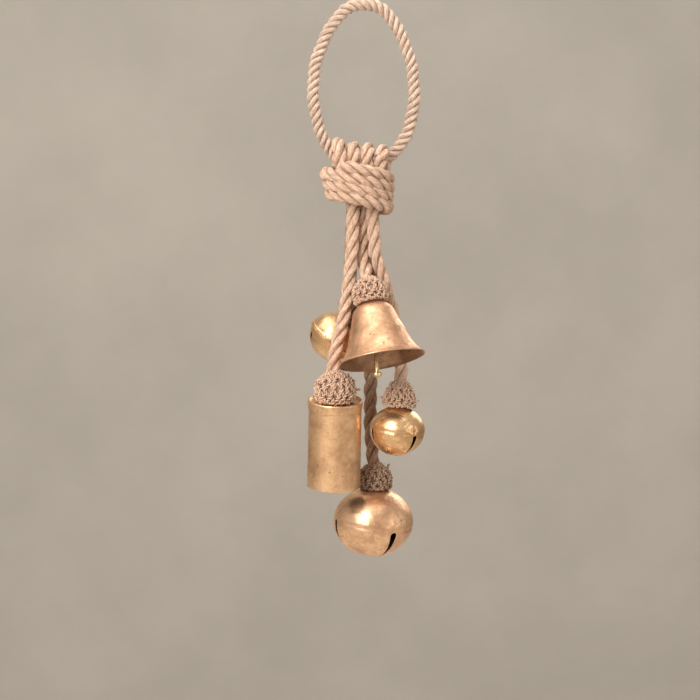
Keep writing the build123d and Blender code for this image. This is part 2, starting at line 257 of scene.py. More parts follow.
def add_fuzz(shape, path, tangent, normal, side, radius, per_mm, length=4.5 * mm):
    """Loose fibres all along a rope."""
    total = np.linalg.norm(np.diff(path, axis=0), axis=1).sum() / mm
    for _ in range(int(total * per_mm)):
        i = rng.integers(1, len(path) - 1)
        a = rng.uniform(0, 2 * pi)
        out = cos(a) * normal[i] + sin(a) * side[i]
        along = tangent[i] * rng.choice([-1, 1])
        root = path[i] + out * radius * 0.9
        heading = unit(along + out * rng.uniform(0.1, 0.75) + 0.35 * rng.normal(size=3))
        curl = 0.55 * rng.normal(size=3) - out * 0.15
        reach = length * rng.uniform(0.4, 1.3)
        add_hair(shape, root, heading, curl, reach, rng.uniform(0.045, 0.08) * mm)


# ---------------------------------------------------------------------------
# Materials
# ---------------------------------------------------------------------------
class Nodes:
    """Short calls for building one material's node tree."""

    def __init__(self, name):
        self.material = bpy.data.materials.new(name)
        self.material.use_nodes = True
        self.tree = self.material.node_tree
        self.surface = self.tree.nodes["Principled BSDF"]

    def add(self, kind, inputs=None, **settings):
        node = self.tree.nodes.new(kind)
        for key, value in settings.items():
            setattr(node, key, value)
        for key, value in (inputs or {}).items():
            self.feed(node, key, value)
        return node

    def feed(self, node, key, value):
        if isinstance(value, bpy.types.NodeSocket):
            self.tree.links.new(value, node.inputs[key])
        else:
            node.inputs[key].default_value = value

    def noise(self, vector, scale, detail=4.0, rough=0.55, distortion=0.0):
        node = self.add("ShaderNodeTexNoise", {"Vector": vector, "Scale": scale, "Detail": detail})
        node.inputs["Roughness"].default_value = rough
        node.inputs["Distortion"].default_value = distortion
        return node.outputs["Fac"]

    def ramp(self, value, *stops):
        node = self.add("ShaderNodeValToRGB", {"Fac": value})
        elements = node.color_ramp.elements
        while len(elements) < len(stops):
            elements.new(0.5)
        for element, (place, colour) in zip(elements, stops):
            element.position = place
            element.color = (*colour, 1) if len(colour) == 3 else colour
        return node.outputs["Color"]

    def level(self, value, low, high, to_low=0.0, to_high=1.0):
        node = self.add("ShaderNodeMapRange", {"Value": value, "From Min": low, "From Max": high})
        node.inputs["To Min"].default_value = to_low
        node.inputs["To Max"].default_value = to_high
        return node.outputs["Result"]

    def mix(self, factor, a, b, blend="MIX"):
        node = self.add("ShaderNodeMix", data_type="RGBA", blend_type=blend)
        self.feed(node, 0, factor)
        self.feed(node, 6, a)
        self.feed(node, 7, b)
        return node.outputs[2]

    def maths(self, operation, a, b=0.0):
        node = self.add("ShaderNodeMath", {0: a, 1: b}, operation=operation)
        return node.outputs[0]

    def scaled(self, vector, x, y, z):
        node = self.add("ShaderNodeMapping", {"Vector": vector, "Scale": (x, y, z)})
        return node.outputs["Vector"]

    def bump(self, *layers):
        """Layers are (height, distance in metres, strength), stacked."""
        normal = None
        for height, distance, strength in layers:
            node = self.add("ShaderNodeBump", {"Height": height, "Distance": distance, "Strength": strength})
            if normal is not None:
                self.feed(node, "Normal", normal)
            normal = node.outputs["Normal"]
        self.feed(self.surface, "Normal", normal)


def jute(name, light, dark, bright):
    """Jute fibre: streaks along each strand, painted shade between strands, matt with a little sheen."""
    m = Nodes(name)
    grain = m.add("ShaderNodeAttribute", attribute_name="grain").outputs["Vector"]
    place = m.add("ShaderNodeTexCoord").outputs["Object"]
    streaks = m.noise(m.scaled(grain, 6.5, 0.28, 0.0), 1.0, 6.0, 0.65, 0.6)
    fine = m.noise(m.scaled(grain, 17.0, 0.9, 0.0), 1.0, 3.0, 0.6, 0.3)
    patches = m.noise(place, 75.0, 3.0)
    base = m.ramp(streaks, (0.37, dark), (0.50, light), (0.64, bright))
    base = m.mix(m.level(patches, 0.35, 0.68, 0.0, 0.28), base, (*[c * 0.62 for c in light], 1))
    base = m.mix(m.level(fine, 0.53, 0.70, 0.0, 0.75), base, (*bright, 1))
    # painted shade: darker where the third grain value is high, between strands and on the ball under a tie's
    # weave
    depth = m.add("ShaderNodeSeparateXYZ", {"Vector": grain}).outputs["Z"]
    base = m.mix(m.level(depth, 0.4, 1.0, 0.0, 0.66), base, (*[c * 0.3 for c in dark], 1))
    m.feed(m.surface, "Base Color", base)
    m.feed(m.surface, "Roughness", m.level(streaks, 0.3, 0.7, 0.92, 0.7))
    m.surface.inputs["Specular IOR Level"].default_value = 0.28
    m.surface.inputs["Sheen Weight"].default_value = 0.15
    m.surface.inputs["Sheen Roughness"].default_value = 0.5
    m.surface.inputs["Sheen Tint"].default_value = (0.95, 0.82, 0.68, 1)
    m.bump((streaks, 0.5 * mm, 0.85), (fine, 0.22 * mm, 0.8))
    return m.material


def gold_wash(name, gold, tarnish, spots, rough=0.36, grain_strength=0.55):
    """Worn gold-bronze leaf on beaten iron: mottled tone, dark spots, scratches and a fine pebbled skin."""
    m = Nodes(name)
    place = m.add("ShaderNodeTexCoord").outputs["Object"]
    cloud = m.noise(place, 55.0, 5.0, 0.6, 0.4)
    mottle = m.noise(place, 260.0, 6.0, 0.65, 0.5)
    pebble = m.noise(place, 900.0, 3.0, 0.6)
    worn = m.noise(place, 210.0, 8.0, 0.72, 0.8)
    colour = m.ramp(cloud, (0.30, tarnish), (0.52, gold), (0.74, tuple(min(1.0, c * 1.22) for c in gold)))
    colour = m.mix(m.level(mottle, 0.45, 0.66, 0.0, 0.55), colour, (*tarnish, 1))
    colour = m.mix(m.level(worn, 0.60, 0.68, 0.0, 0.7), colour, (*[min(1.0, c * 1.35) for c in gold], 1))
    dark = m.noise(place, 300.0, 3.0, 0.5, 0.6)
    blotch = m.level(dark, 0.695 - 0.05 * spots, 0.76 - 0.05 * spots, 0.0, 0.85)
    colour = m.mix(blotch, colour, (0.05, 0.035, 0.028, 1))
    # inner faces of the bells are near black: dark bare metal deepened by painted shade
    grain = m.add("ShaderNodeAttribute", attribute_name="grain").outputs["Vector"]
    bare_inside_and_shade = m.add("ShaderNodeSeparateXYZ", {"Vector": grain}).outputs["Z"]
    edge = m.add("ShaderNodeNewGeometry").outputs["Pointiness"]
    colour = m.mix(m.level(edge, 0.57, 0.68, 0.0, 0.8), colour, (*[min(1.0, c * 1.3) for c in gold], 1))
    colour = m.mix(m.level(edge, 0.43, 0.32, 0.0, 0.75), colour, (0.09, 0.05, 0.03, 1))
    m.feed(m.surface, "Base Color", m.mix(bare_inside_and_shade, colour, (0.03, 0.021, 0.016, 1)))
    m.feed(m.surface, "Metallic", m.maths("SUBTRACT", 0.93, m.maths("MULTIPLY", blotch, 0.6)))
    shine = m.level(mottle, 0.32, 0.70, rough - 0.08, rough + 0.16)
    m.feed(m.surface, "Roughness", m.maths("ADD", shine, m.maths("MULTIPLY", blotch, 0.25)))
    scratch_a = m.noise(m.scaled(place, 2300.0, 160.0, 190.0), 1.0, 2.0, 0.5, 0.6)
    scratch_b = m.noise(m.scaled(place, 210.0, 260.0, 2600.0), 1.0, 2.0, 0.5, 0.8)
    scratches = m.maths("ADD", m.level(scratch_a, 0.64, 0.74), m.level(scratch_b, 0.66, 0.76))
    m.bump(
        (cloud, 0.5 * mm, 0.35),
        (mottle, 0.32 * mm, grain_strength),
        (pebble, 0.10 * mm, grain_strength * 0.8),
        (scratches, 0.05 * mm, 0.45),
    )
    return m.material


def bare_metal(name, colour, dull, rough, metallic=1.0):
    """Bare metal with handling marks: wire, clappers and pellets."""
    m = Nodes(name)
    place = m.add("ShaderNodeTexCoord").outputs["Object"]
    cloud = m.noise(place, 340.0, 5.0, 0.6)
    fine = m.noise(place, 1700.0, 3.0, 0.6)
    m.feed(m.surface, "Base Color", m.ramp(cloud, (0.34, dull), (0.60, colour)))
    m.surface.inputs["Metallic"].default_value = metallic
    m.feed(m.surface, "Roughness", m.level(cloud, 0.3, 0.7, rough + 0.15, rough))
    m.bump((cloud, 0.12 * mm, 0.4), (fine, 0.04 * mm, 0.5))
    return m.material


# shade_jute and the second, darker twine are darker copies of the jute as painted shade: for the ropes and
# ties that hang in the flared bell's shadow, and for the middle of the knot
rope_jute = jute("rope_jute", (0.68, 0.425, 0.295), (0.34, 0.19, 0.115), (0.96, 0.78, 0.63))
loop_jute = jute("loop_jute", (0.70, 0.50, 0.385), (0.34, 0.215, 0.145), (0.96, 0.83, 0.70))
shade_jute = jute("shade_jute", (0.40, 0.25, 0.165), (0.17, 0.10, 0.06), (0.66, 0.48, 0.36))
twine_jute = jute("twine_jute", (0.84, 0.53, 0.37), (0.48, 0.275, 0.17), (0.99, 0.82, 0.66))
twine_shaded = jute("twine_shaded", (0.45, 0.28, 0.185), (0.20, 0.115, 0.07), (0.74, 0.54, 0.41))
GOLD, COPPER, TARNISH = (0.88, 0.565, 0.33), (0.82, 0.49, 0.30), (0.52, 0.29, 0.155)
wash_bright = gold_wash("wash_bright", (0.92, 0.60, 0.33), (0.60, 0.35, 0.17), 0.2, 0.28, 0.38)
wash_plain = gold_wash("wash_plain", GOLD, TARNISH, 0.5, 0.34, 0.6)
wash_copper = gold_wash("wash_copper", COPPER, (0.48, 0.27, 0.155), 0.7, 0.42, 0.5)
wash_large = gold_wash("wash_large", (0.88, 0.555, 0.34), (0.55, 0.31, 0.18), 0.5, 0.34, 0.48)
wire_metal = bare_metal("wire_metal", (0.62, 0.44, 0.22), (0.28, 0.18, 0.09), 0.35)
clapper_brass = bare_metal("clapper_brass", (0.93, 0.74, 0.44), (0.70, 0.50, 0.25), 0.22)
pellet_iron = bare_metal("pellet_iron", (0.16, 0.15, 0.14), (0.07, 0.05, 0.04), 0.45, 0.9)


# ---------------------------------------------------------------------------
# Drop ropes: each follows its CAD rope, from inside the knot into its tie
# ---------------------------------------------------------------------------
rope_radius = 4.75 * mm
ROPE_LAY = 36 * mm
ROPE_STRANDS, ROPE_SIDES = 3, 20
# drops that hang behind the flared bell: their ropes and ties take the darker copies, as painted shade
SHADED_DROPS = ("large", "medium")


def drop_line(drop):
    """Centre line of a drop rope, from inside the knot to inside its tie."""
    top, foot = joint_place(f"{drop}_swing"), joint_place(f"{drop}_nod")
    levels = np.linspace(top[2] - 3 * mm, foot[2] + 3.5 * mm, 14)
    up = np.array([0.0, 0.0, 1.0])
    inner = cut_centres(f"{drop}_rope", [(np.array([0, 0, z]), up, None) for z in levels])
    into_tie = tie_axis(drop)
    return np.vstack([top + up * 9 * mm, top + up * 4 * mm, inner, foot, foot - into_tie * 3.5 * mm])


def tie_axis(drop):
    """Up along a tie: from the staple's eye to the rope's end."""
    eye = joint_place(f"{drop}_twist") + joint_axis(f"{drop}_twist") * 5 * mm
    return unit(joint_place(f"{drop}_nod") - eye)


def strand_part(rope, strand, rows, first, last):
    """The rows first to last of one strand of a whole rope, with both ends closed."""
    count = rows * ROPE_SIDES
    rings = rope.points[strand][:count].reshape(rows, ROPE_SIDES, 3)[first:last]
    grain = rope.grain[strand][:count].reshape(rows, ROPE_SIDES, 3)[first:last].reshape(-1, 3)
    centres = rings.mean(axis=1)
    points = np.vstack([rings.reshape(-1, 3), centres[:1], centres[-1:]])
    return points, capped_faces(last - first, ROPE_SIDES), np.vstack([grain, grain[:1], grain[-1:]])


def make_drop_rope(index, drop):
    """The rope is built whole, then cut in two halves."""
    line = resample(drop_line(drop), 0.9 * mm)
    # painted shade: the ropes that hang behind the flared bell take the darker jute
    material = shade_jute if drop in SHADED_DROPS else rope_jute
    whole = Shape()
    path, *frames = add_rope(
        whole, line, rope_radius, ROPE_LAY, sides=ROPE_SIDES, turn=1.3 * index, loose=0.05, lobe=0.07
    )
    half, rows = len(line) // 2, len(path)
    for part, (first, last) in {"upper": (0, half + 1), "lower": (half, rows)}.items():
        piece = Shape()
        for strand in range(ROPE_STRANDS):
            piece.add(*strand_part(whole, strand, rows, first, last))
        add_fuzz(piece, path[first:last], *[f[first:last] for f in frames], rope_radius, 2.4)
        obj = piece.piece(f"{drop}_rope_{part}", material, "jute_rope")
        if part == "upper":
            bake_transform(obj)
            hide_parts(f"{drop}_rope")
        else:
            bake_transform(obj)


for index, drop in enumerate(DROPS):
    make_drop_rope(index, drop)


# ---------------------------------------------------------------------------
# Hanger loop
# ---------------------------------------------------------------------------
def loop_line():
    """Centre line of the hanger loop: level cuts up each leg, and cuts that fan out over the top."""
    low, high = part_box("hanger_loop")
    middle = np.array([0.0, 0.0, low.z + 0.52 * (high.z - low.z)])
    right = np.array([1.0, 0.0, 0.0])
    level = np.array([0.0, 0.0, 1.0])
    heights = np.linspace(low.z + 6 * mm, middle[2] - 4 * mm, 10)
    planes = [(np.array([0, 0, z]), level, right) for z in heights]
    for degrees in np.linspace(0, 180, 27):
        keep = np.array([cos(radians(degrees)), 0.0, sin(radians(degrees))])
        normal = np.array([-keep[2], 0.0, keep[0]])
        planes.append((middle, normal, keep))
    planes += [(np.array([0, 0, z]), level, -right) for z in heights[::-1]]
    return cut_centres("hanger_loop", planes)


def make_hanger_loop():
    line = loop_line()
    shape = Shape()
    laid = add_rope(shape, line, 4.5 * mm, 17 * mm, sides=18, loose=0.05, lobe=0.06)
    add_fuzz(shape, *laid, 4.4 * mm, 1.8)
    loop = shape.piece("hanger_loop_rope", loop_jute, "jute_rope")
    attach(loop, "hanger")
    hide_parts("hanger_loop")


make_hanger_loop()


# ---------------------------------------------------------------------------
# Knot: the wound rope, the bights on top and the bundle it grips
# ---------------------------------------------------------------------------
def make_knot_wraps():
    """One rope wound round the bundle, lower on the right and wider at the top."""
    low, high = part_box("knot_wrap")
    rope = 4.9 * mm
    turns, slope = 3.35, radians(9)
    left, right = low.x + rope, high.x - rope
    centre_high, reach_high = (left + right) / 2, (right - left) / 2
    centre_low, reach_low = centre_high + 2.6 * mm, reach_high - 3.6 * mm
    bottom = low.z + rope + 3.2 * mm
    top = high.z - rope - 4.2 * mm
    points = []
    for turn in np.arange(-0.15, turns, 0.04):
        share = turn / turns
        centre = centre_low + share * (centre_high - centre_low)
        reach = reach_low + share * (reach_high - reach_low) - 2.5 * mm * max(0.0, turn - turns + 0.4)
        x, y = reach * cos(2 * pi * turn), -reach * sin(2 * pi * turn)
        points.append((centre + x, y, bottom + (top - bottom) * share - x * np.tan(slope)))
    shape = Shape()
    laid = add_rope(shape, points, rope, 30 * mm, sides=20, loose=0.06, lobe=0.07)
    add_fuzz(shape, *laid, rope, 0.8)
    wraps = shape.piece("knot_wraps", rope_jute, "jute_rope")
    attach(wraps, "hanger")
    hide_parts("knot_wrap")


# Bights: how far each peak is below the highest, and how far its rope leans to the right, left to right
BIGHTS = ((0.0, -2.0), (2.6, -0.5), (3.6, 1.0), (5.0, 2.5))


def make_knot_bights():
    """Arcs of rope that fold over the top of the knot, front to back."""
    low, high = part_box("knot_crown")
    cad_radius, bend = 4.6 * mm, 6 * mm
    width = (high.x - low.x - 2 * cad_radius) / (len(BIGHTS) - 1)
    front, back = low.y + cad_radius, high.y - cad_radius + 1.5 * mm
    foot = low.z - 9 * mm
    shape = Shape()
    for k, (drop_below, lean) in enumerate(BIGHTS):
        x, lean = low.x + cad_radius + k * width, lean * mm
        peak = high.z - 4.8 * mm - drop_below * mm
        arc = [(x - lean * 0.4, front + 1.5 * mm, foot), (x - lean * 0.2, front, foot + 9 * mm)]
        for step in np.linspace(0, pi, 7):
            y = (front + back) / 2 - (back - front) / 2 * cos(step)
            arc.append((x + lean * sin(step) * 0.5, y, peak - bend + bend * sin(step)))
        arc += [(x + lean * 0.6, back, foot + 9 * mm), (x + lean, back - 1.0 * mm, foot)]
        laid = add_rope(shape, arc, 4.85 * mm, 31 * mm, turn=1.7 * k, loose=0.05, lobe=0.07)
        add_fuzz(shape, *laid, 4.8 * mm, 0.7)
    bights = shape.piece("knot_bights", rope_jute, "jute_rope")
    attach(bights, "hanger")
    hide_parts("knot_crown")


def make_knot_bundle():
    """Short upright lengths of rope that fill the middle of the knot, in two rings round one."""
    low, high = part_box("knot_core")
    middle = (low.x + high.x) / 2
    shape = Shape()
    places = [(0.0, 0.0)] + [(9.2 * cos(a), 9.2 * sin(a)) for a in np.linspace(0, 2 * pi, 7)[:-1]]
    places += [(14.2 * cos(a), 14.2 * sin(a)) for a in np.linspace(0.3, 2 * pi + 0.3, 11)[:-1]]
    for k, (x, y) in enumerate(places):
        short = 1.5 if k > 6 else 0.0
        foot = (middle + (x * 0.86 + 1.5) * mm, y * 0.86 * mm, low.z + (10 + short) * mm)
        head = (middle + x * mm, y * mm, high.z - (2.5 + 1.5 * short) * mm)
        between = [tuple(np.array(foot) + (np.array(head) - np.array(foot)) * t) for t in (0.33, 0.67)]
        add_rope(shape, [foot, *between, head], 4.7 * mm, ROPE_LAY, sides=14, turn=0.9 * k)
    # painted shade: the middle of the knot takes the darker jute
    bundle = shape.piece("knot_bundle", shade_jute, "jute_rope")
    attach(bundle, "hanger")
    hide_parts("knot_core")


make_knot_wraps()
make_knot_bights()
make_knot_bundle()


# ---------------------------------------------------------------------------
# Ties: a woven ball of fine twine over each bell's crown
# ---------------------------------------------------------------------------
TWINE = {"strands": 2, "sides": 6, "lobes": 3, "lobe": 0.03}
TIES = {
    # radius, base height from the eye, fullness of the shoulder, twine radius, leads and bights of the weave
    "cylinder": (12.9, -3.8, 1.08, 1.30, 7, 17),
    "flared": (11.3, -4.6, 0.98, 1.20, 6, 13),
    "small": (11.0, -4.8, 0.72, 1.18, 7, 15),
    "large": (10.9, -5.0, 0.98, 1.30, 5, 13),
    "medium": (10.3, -4.2, 0.92, 1.18, 6, 13),
}


def make_tie(index, drop):
    radius, base, fullness, twine, leads, bights = TIES[drop]
    radius, base, twine = radius * mm, base * mm, twine * mm
    bell_up = joint_axis(f"{drop}_twist")
    own_up = tie_axis(drop)
    eye = joint_place(f"{drop}_twist") + bell_up * 5 * mm
    reach = np.linalg.norm(joint_place(f"{drop}_nod") - eye) - 0.4 * mm
    east = unit(np.cross([0.0, 1.0, 0.0], bell_up))
    tall = reach - base

    def spot(theta, v, lift):
        """A point on the tie: v 0 at the base, 1 at the collar; lift is off the surface."""
        r0, r1, r2, r3 = radius * 0.93, radius * 1.13, radius * fullness, 5.6 * mm
        r = (1 - v) ** 3 * r0 + 3 * (1 - v) ** 2 * v * r1 + 3 * (1 - v) * v**2 * r2 + v**3 * r3
        h = (3 * (1 - v) * v**2 * 0.93 + 3 * (1 - v) ** 2 * v * 0.36 + v**3) * tall
        up = unit(bell_up * (1 - v) + own_up * v)
        a = unit(east - up * east.dot(up))
        b = np.cross(up, a)
        out = cos(theta) * a + sin(theta) * b
        slope = out * (1 - v * 0.55) + up * v * 0.8
        centre = eye + bell_up * base * (1 - v) + own_up * base * v
        return centre + (bell_up * (1 - v) + own_up * v) * h + out * r + unit(slope) * lift

    shape = Shape()
    # the solid ball under the weave, closed at its base and collar, darkened as painted shade under the twine
    rows, sides = 18, 48
    turns = np.linspace(0, 2 * pi, sides, endpoint=False)
    rings = np.array([[spot(t, v, -1.15 * twine) for t in turns] for v in np.linspace(0, 1, rows)])
    ends = rings.mean(axis=1)
    points = np.vstack([rings.reshape(-1, 3), ends[:1], ends[-1:]])
    shape.add(points, capped_faces(rows, sides), np.tile([0.0, 0.0, 0.9], (len(points), 1)))
    # one long twine that weaves over and under itself, like a Turk's head
    steps = bights * 46
    weave = []
    for i in range(steps):
        t = i / steps
        phi = 2 * pi * bights * t
        theta = 2 * pi * leads * t
        wobble = Vector((cos(theta) * 2.2, sin(theta) * 2.2, cos(phi) * 1.7 + index * 9))
        theta += 0.20 * noise.noise(wobble * 1.4)
        v = 0.5 - 0.5 * cos(phi) * (0.965 + 0.05 * noise.noise(wobble))
        v = min(0.985, max(0.015, v + 0.035 * noise.noise(wobble * 2.1)))
        swap = max(-1.0, min(1.0, 3 * sin(phi)))
        lift = 0.62 * twine * cos(leads * phi) * swap + 0.6 * twine * noise.noise(wobble * 1.9)
        weave.append(spot(theta, v, lift))
    add_rope(shape, weave, twine, 5.2 * mm, step=0.62 * mm, loose=0.15, **TWINE)
    # two tight turns round the rope at the collar
    collar = []
    for t in np.linspace(0, 2.15, 60):
        theta = 2 * pi * t
        inward = -0.3 * mm * np.array([cos(theta), sin(theta), 0])
        collar.append(spot(theta, 0.985, 0) + own_up * (0.5 + 0.75 * t) * mm + inward)
    add_rope(shape, collar, twine * 0.95, 5.0 * mm, step=0.62 * mm, **TWINE)
    # frayed ends and loose knots
    for _ in range(7):
        theta, v = rng.uniform(0, 2 * pi), rng.uniform(0.12, 0.8)
        start = spot(theta, v, 0.2 * twine)
        out = unit(spot(theta, v, 1 * mm) - spot(theta, v, 0))
        skew = 0.5 * rng.normal(size=3)
        stub = [start, start + (out + skew * 0.4) * 1.3 * mm, start + (out * 1.6 + skew) * 1.9 * mm]
        add_rope(shape, stub, twine * 0.85, 4.5 * mm, step=0.5 * mm, **TWINE)
        for _ in range(5):
            heading = unit(out + 0.7 * rng.normal(size=3))
            add_hair(shape, stub[-1], heading, 0.3 * rng.normal(size=3), 2.6 * mm, 0.07 * mm)
    for _ in range(150):
        theta, v = rng.uniform(0, 2 * pi), rng.uniform(0.03, 0.98)
        start = spot(theta, v, 0.6 * twine)
        out = unit(spot(theta, v, 1 * mm) - spot(theta, v, 0))
        heading = unit(out * 0.7 + 0.8 * rng.normal(size=3))
        add_hair(shape, start, heading, 0.4 * rng.normal(size=3), rng.uniform(1.5, 4.0) * mm, 0.055 * mm)
    # painted shade: the ties that hang behind the flared bell take the darker twine
    material = twine_shaded if drop in SHADED_DROPS else twine_jute
    tie = shape.piece(f"{drop}_tie_twine", material, "jute_twine")
    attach(tie, f"{drop}_grip")
    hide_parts(f"{drop}_tie")


for index, drop in enumerate(DROPS):
    make_tie(index, drop)


# ---------------------------------------------------------------------------
# Bells: turned and beaten sheet, placed by each bell's twist joint
# ---------------------------------------------------------------------------
def bell_matrix(drop):
    """From a bell's own axes (origin on the crown, +Z up its axis) to the row frame."""
    z = joint_axis(f"{drop}_twist")
    y = unit([0.0, z[2], -z[1]])
    x = np.cross(y, z)
    return np.column_stack([x, y, z]), joint_place(f"{drop}_twist")


def place_on_bell(points, drop):
    turn, origin = bell_matrix(drop)
    return points @ turn.T + origin


def smooth_outline(points, step):
    """Even points along an outline given as (radius, height) in millimetres."""
    flat = np.array([(r, 0.0, h) for r, h in points]) * mm
    line = resample(flat, step)
    return line[:, [0, 2]]


CROWN_HOLE = 1.3 * mm


def sheet_section(outline, sheet):
    """A closed section: the outline, and back along it at sheet thickness on its inner side."""
    tangent = np.gradient(outline, axis=0)
    tangent /= np.linalg.norm(tangent, axis=1)[:, None]
    inner = outline + np.column_stack([tangent[:, 1], -tangent[:, 0]]) * sheet
    inner[:, 0] = np.maximum(inner[:, 0], CROWN_HOLE)
    return np.vstack([outline, inner[::-1]])


def dents(points, size, depth, seed, octaves=3):
    """Signed beating depth at each point, from soft noise."""
    shift = Vector((seed * 3.7, seed * 1.3, seed * 5.1))
    return np.array([noise.fractal(Vector(p) / size + shift, 1.0, 2.0, octaves) for p in points]) * depth


def inside_grain(count, bare_inside_and_shade):
    """Grain for a sheet whose second half of points is its inner face, darkened by the given amount: dark
    bare metal deepened by painted shade.
    """
    grain = np.zeros((count, 3))
    grain[count // 2 :, 2] = bare_inside_and_shade
    return grain


def turned(section, sides, push, bare_inside_and_shade=0.0):
    """Points, faces and grain of a section turned about Z; push(points) moves the points, and the last
    argument darkens the inner face as dark bare metal with painted shade.
    """
    theta = np.linspace(0, 2 * pi, sides, endpoint=False)
    r, h = section[:, 0][:, None], section[:, 1][:, None]
    points = np.stack([r * np.cos(theta), r * np.sin(theta), h + 0 * theta], axis=-1).reshape(-1, 3)
    points = push(points)
    count = len(section)
    faces = []
    for i in range(count):
        j = (i + 1) % count
        for k in range(sides):
            n = (k + 1) % sides
            faces.append((i * sides + k, j * sides + k, j * sides + n, i * sides + n))
    return points, faces, inside_grain(len(points), bare_inside_and_shade)


def radial_push(points, amount):
    radius = np.maximum(np.linalg.norm(points[:, :2], axis=1), 1e-6)
    out = points.copy()
    share = np.minimum(1, radius / (6 * mm))
    out[:, :2] += points[:, :2] / radius[:, None] * (amount * share)[:, None]
    return out


def finish_bell(shape, name, drop, material, nodes):
    shape.points = [place_on_bell(np.vstack(shape.points), drop)]
    obj = shape.piece(name, material, "bell_metal")
    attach(obj, f"{drop}_sounder")
    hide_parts(*nodes)
    return obj


def make_flared_bell():
    outline = [(1.3, 0.0), (4.5, -0.05), (8.0, -0.7), (10.6, -2.0), (12.7, -3.9), (14.4, -6.4)]
    outline += [(16.2, -11.6), (18.0, -17.0), (20.0, -22.4), (21.8, -27.5), (23.7, -32.0)]
    outline += [(26.0, -36.0), (28.4, -39.0), (30.8, -41.2)]
    section = sheet_section(smooth_outline(outline, 0.7 * mm), 1.0 * mm)

    def push(points):
        theta = np.arctan2(points[:, 1], points[:, 0])
        depth = np.clip(-points[:, 2] / (41 * mm), 0, 1)
        beaten = dents(points, 13 * mm, 0.32 * mm, 2)
        wave = 0.35 * mm * depth**3 * np.sin(3 * theta + 0.7) + 0.2 * mm * depth**3 * np.sin(7 * theta)
        moved = radial_push(points, beaten * (0.35 + depth) + wave)
        moved[:, 2] += 0.3 * mm * depth**4 * np.sin(2 * theta + 1.1)
        return moved

    shape = Shape()
    # inner face darker: dark bare metal deepened by painted shade
    shape.add(*turned(section, 220, push, bare_inside_and_shade=0.55))
    finish_bell(shape, "flared_bell_sheet", "flared", wash_copper, ["flared_bell"])


make_flared_bell()
CYLINDER_RADIUS = 18.75


def make_cylinder_wall():
    radius, length = CYLINDER_RADIUS, 61.2
    wall = [(radius, -1.1), (radius, -8), (radius - 0.1, -20), (radius, -35), (radius + 0.1, -50)]
    wall += [(radius + 0.25, -length + 1.2), (radius + 0.45, -length + 0.35), (radius + 0.35, -length)]
    section = sheet_section(smooth_outline(wall, 0.8 * mm), 1.0 * mm)

    def push(points):
        theta = np.arctan2(points[:, 1], points[:, 0])
        depth = np.clip(-points[:, 2] / (61 * mm), 0, 1)
        beaten = dents(points, 15 * mm, 0.30 * mm, 5)
        flats = 0.16 * mm * np.cos(9 * theta + 1.2 * np.sin(2 * theta))
        moved = radial_push(points, beaten + flats * (0.4 + 0.6 * depth))
        moved[:, 2] += 0.3 * mm * depth**6 * np.sin(2 * theta + 0.4)
        return moved

    shape = Shape()
    # inner face darker: dark bare metal deepened by painted shade
    shape.add(*turned(section, 200, push, bare_inside_and_shade=0.7))
    finish_bell(shape, "cylinder_bell_wall", "cylinder", wash_plain, ["cylinder_body"])


def make_cylinder_cap():
    """A flat top with a raised rim and a crimped skirt over the wall."""
    skirt, rim = 5.0, CYLINDER_RADIUS + 0.45
    cap = [(1.3, 0.0), (8, 0.02), (14, 0.05), (16.4, 0.15), (17.3, 0.55), (17.8, 1.3), (18.3, 1.62)]
    cap += [(18.9, 1.45), (rim, 0.7), (rim + 0.05, -1.5), (rim - 0.05, -3.2)]
    cap += [(rim - 0.12, -skirt + 0.5), (rim - 0.3, -skirt)]
    outline = smooth_outline(cap, 0.35 * mm)
    inner = np.array([(1.3, -1.0), (10, -1.0), (16.9, -0.96), (17.8, -0.9), (18.7, -0.85)]) * mm
    inner = np.vstack([inner, np.array([(18.9, -1.6), (18.9, -skirt + 0.02)]) * mm])
    section = np.vstack([outline, inner[::-1]])

    def crimp(points):
        theta = np.arctan2(points[:, 1], points[:, 0])
        skirt_share = np.clip((0.4 * mm - points[:, 2]) / (5 * mm), 0, 1)
        beaten = dents(points, 9 * mm, 0.22 * mm, 8)
        moved = radial_push(points, beaten - 0.12 * mm * skirt_share * np.abs(np.sin(17 * theta)) ** 3)
        moved[:, 2] += 0.28 * mm * skirt_share * np.sin(5 * theta + 2) + dents(points, 6 * mm, 0.16 * mm, 9)
        return moved

    shape = Shape()
    shape.add(*turned(section, 200, crimp))
    finish_bell(shape, "cylinder_bell_cap", "cylinder", wash_plain, ["cylinder_cap"])


make_cylinder_wall()
make_cylinder_cap()


# ---------------------------------------------------------------------------
# Crotals: shells whose lower halves are three petals with keyhole slots between them
# ---------------------------------------------------------------------------
def slot_half_width(drop_from_middle, top, wide, narrow, foot):
    """Half the slot's width at a depth below the middle: a round top, then a straight taper."""
    centre = top + wide
    if drop_from_middle <= top:
        return 0.0
    if drop_from_middle < centre:
        return sqrt(max(0.0, wide**2 - (centre - drop_from_middle) ** 2))
    return wide + (narrow - wide) * min(1.0, (drop_from_middle - centre) / (foot - centre))


